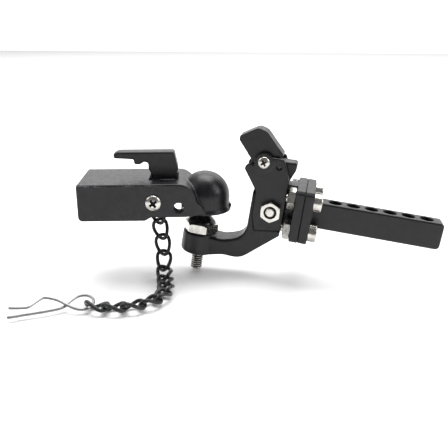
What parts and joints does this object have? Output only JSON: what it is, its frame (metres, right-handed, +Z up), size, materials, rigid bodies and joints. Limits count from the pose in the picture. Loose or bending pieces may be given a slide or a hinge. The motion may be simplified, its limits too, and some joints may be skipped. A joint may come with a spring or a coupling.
{
  "type": "trailer hitch with ball",
  "caption": "Small model trailer hitch: drilled receiver shank, pintle hook with upper jaw, ball on a stud, and a latching ball coupler with safety chain and R-clip.",
  "frame": {"origin": "middle of the shank's far end face, where the receiver tube holds it", "axes": "+X along the shank away from the ball seen from above (the shank slopes down 7.5 degrees towards +X), +Y to the back of the pictured view, +Z up"},
  "size_m": [0.1139, 0.0535, 0.0457],
  "materials": {
    "black_paint": "satin black paint over a cast surface",
    "bright_steel": "bright nickel-plated steel",
    "black_steel": "black-oxide steel wire and pins",
    "dark_nylon": "dark grey nylon, matte"
  },
  "bodies": {
    "hitch": {"receiver_shank": "black_paint", "pintle_body": "black_paint", "hook_arm": "black_paint", "arm_bolt": "bright_steel", "arm_nut": "bright_steel", "jaw_pivot_screw": "bright_steel", "jaw_pivot_nut": "bright_steel", "trigger_pin": "black_steel", "flange_screw_1": "bright_steel", "flange_screw_2": "bright_steel", "flange_screw_3": "bright_steel", "flange_screw_4": "bright_steel", "flange_nut_1": "bright_steel", "flange_nut_2": "bright_steel", "flange_nut_3": "bright_steel", "flange_nut_4": "bright_steel", "ball_stud": "bright_steel"},
    "upper_jaw": {"upper_jaw": "black_paint"},
    "jaw_trigger": {"jaw_trigger": "black_paint"},
    "ball_seat": {"ball_seat": "dark_nylon"},
    "coupler": {"coupler_shell": "black_paint", "lever_pin": "black_steel", "cross_screw": "bright_steel", "cross_nut": "bright_steel", "chain_link_01": "black_steel", "chain_link_02": "black_steel", "chain_link_03": "black_steel", "chain_link_04": "black_steel", "chain_link_05": "black_steel", "chain_link_06": "black_steel", "chain_link_07": "black_steel", "chain_link_08": "black_steel", "chain_link_09": "black_steel", "chain_link_10": "black_steel", "chain_link_11": "black_steel", "chain_link_12": "black_steel", "chain_link_13": "black_steel", "r_clip": "bright_steel"},
    "latch_lever": {"latch_lever": "black_paint"},
    "ball_clamp": {"ball_clamp": "bright_steel"}
  },
  "joints": [
    {"name": "upper_jaw_hinge", "type": "hinge", "parent": "hitch", "child": "upper_jaw", "pos_m": [-0.05119, 0, 0.02026], "axis": [0, 1, 0], "range_deg": [-2, 5]},
    {"name": "trigger_hinge", "type": "hinge", "parent": "hitch", "child": "jaw_trigger", "pos_m": [-0.04681, 0, 0.01907], "axis": [0, 1, 0], "range_deg": [-3, 8]},
    {"name": "coupler_yaw", "type": "hinge", "parent": "hitch", "child": "ball_seat", "pos_m": [-0.06948, 0, 0.00854], "axis": [0.1305, 0, 0.9914], "range_deg": [-50, 50]},
    {"name": "coupler_pitch", "type": "hinge", "parent": "ball_seat", "child": "coupler", "pos_m": [-0.06948, 0, 0.00854], "axis": [-0.2079, 0.9781, 0], "range_deg": [-8, 12]},
    {"name": "lever_hinge", "type": "hinge", "parent": "coupler", "child": "latch_lever", "pos_m": [-0.07887, -0.002, 0.01634], "axis": [-0.2079, 0.9781, 0], "range_deg": [0, 35]},
    {"name": "clamp_slide", "type": "slide", "parent": "coupler", "child": "ball_clamp", "axis": [-0.9781, -0.2079, 0], "range_m": [0, 0.0019]}
  ],
  "couplings": [
    {"joint": "clamp_slide", "follows": "lever_hinge", "m_per_rad": 0.003}
  ]
}
